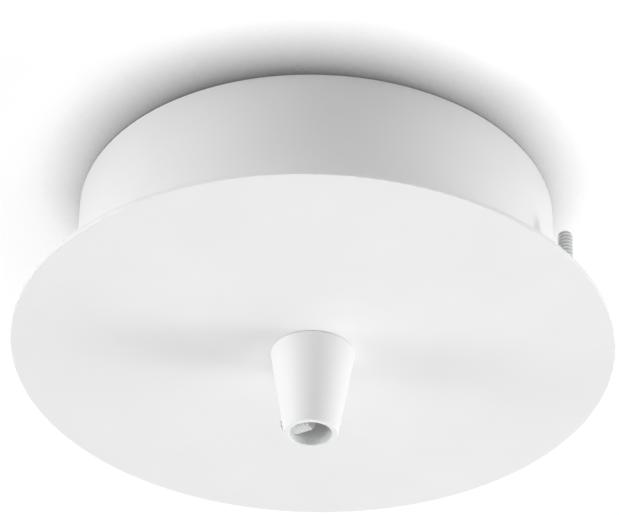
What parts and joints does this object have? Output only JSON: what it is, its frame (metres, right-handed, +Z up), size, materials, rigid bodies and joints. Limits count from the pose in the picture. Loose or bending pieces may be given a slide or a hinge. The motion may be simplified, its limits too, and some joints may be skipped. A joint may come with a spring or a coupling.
{
  "type": "electrical ceiling rose",
  "caption": "Round white ceiling rose: a plain shallow drum closed by a wider flat disc, with a conical cord grip hanging from the disc's centre.",
  "frame": {"origin": "on the ceiling plane, at the drum's axis", "axes": "+Z up into the ceiling, along the drum's axis; -Y towards the viewer of the picture; +X to the viewer's right"},
  "size_m": [0.12, 0.12, 0.052],
  "materials": {
    "white_paint": "satin",
    "zinc_plate": "bright zinc",
    "brass": "bright",
    "natural_nylon": "translucent",
    "strip_plastic": "gloss",
    "grey_rubber": "matt"
  },
  "bodies": {
    "rose": {"canopy_drum": "white_paint", "cover_disc": "white_paint", "cord_grip": "white_paint", "cover_stud_right": "zinc_plate", "cover_stud_left": "zinc_plate", "stud_washers": "zinc_plate", "hollow_nipple": "zinc_plate", "nipple_nut": "zinc_plate", "nipple_washer": "zinc_plate", "terminal_mount_screws": "zinc_plate", "earth_stud": "zinc_plate", "earth_washer": "zinc_plate", "terminal_barrel_live": "brass", "terminal_barrel_neutral": "brass", "terminal_barrel_earth": "brass", "terminal_housing": "strip_plastic", "entry_grommet": "grey_rubber"},
    "clamp_screw": {"clamp_screw": "natural_nylon"},
    "cover_nut_right": {"cover_nut_right": "zinc_plate"},
    "cover_nut_left": {"cover_nut_left": "zinc_plate"},
    "earth_nut": {"earth_nut": "zinc_plate"},
    "terminal_screw_live_supply": {"terminal_screw_live_supply": "zinc_plate"},
    "terminal_screw_live_lamp": {"terminal_screw_live_lamp": "zinc_plate"},
    "terminal_screw_neutral_supply": {"terminal_screw_neutral_supply": "zinc_plate"},
    "terminal_screw_neutral_lamp": {"terminal_screw_neutral_lamp": "zinc_plate"},
    "terminal_screw_earth_supply": {"terminal_screw_earth_supply": "zinc_plate"},
    "terminal_screw_earth_lamp": {"terminal_screw_earth_lamp": "zinc_plate"}
  },
  "joints": [
    {"name": "clamp_screw_travel", "type": "slide", "parent": "rose", "child": "clamp_screw", "axis": [-0.8387, 0.5446, 0], "range_m": [-0.0015, 0.0042]},
    {"name": "cover_nut_right_travel", "type": "slide", "parent": "rose", "child": "cover_nut_right", "axis": [0, 0, 1], "range_m": [0, 0.013]},
    {"name": "cover_nut_left_travel", "type": "slide", "parent": "rose", "child": "cover_nut_left", "axis": [0, 0, 1], "range_m": [0, 0.013]},
    {"name": "earth_nut_travel", "type": "slide", "parent": "rose", "child": "earth_nut", "axis": [0, 0, -1], "range_m": [0, 0.0065]},
    {"name": "terminal_screw_live_supply_travel", "type": "slide", "parent": "rose", "child": "terminal_screw_live_supply", "axis": [0, 0, 1], "range_m": [0, 0.0024]},
    {"name": "terminal_screw_live_lamp_travel", "type": "slide", "parent": "rose", "child": "terminal_screw_live_lamp", "axis": [0, 0, 1], "range_m": [0, 0.0024]},
    {"name": "terminal_screw_neutral_supply_travel", "type": "slide", "parent": "rose", "child": "terminal_screw_neutral_supply", "axis": [0, 0, 1], "range_m": [0, 0.0024]},
    {"name": "terminal_screw_neutral_lamp_travel", "type": "slide", "parent": "rose", "child": "terminal_screw_neutral_lamp", "axis": [0, 0, 1], "range_m": [0, 0.0024]},
    {"name": "terminal_screw_earth_supply_travel", "type": "slide", "parent": "rose", "child": "terminal_screw_earth_supply", "axis": [0, 0, 1], "range_m": [0, 0.0024]},
    {"name": "terminal_screw_earth_lamp_travel", "type": "slide", "parent": "rose", "child": "terminal_screw_earth_lamp", "axis": [0, 0, 1], "range_m": [0, 0.0024]}
  ]
}
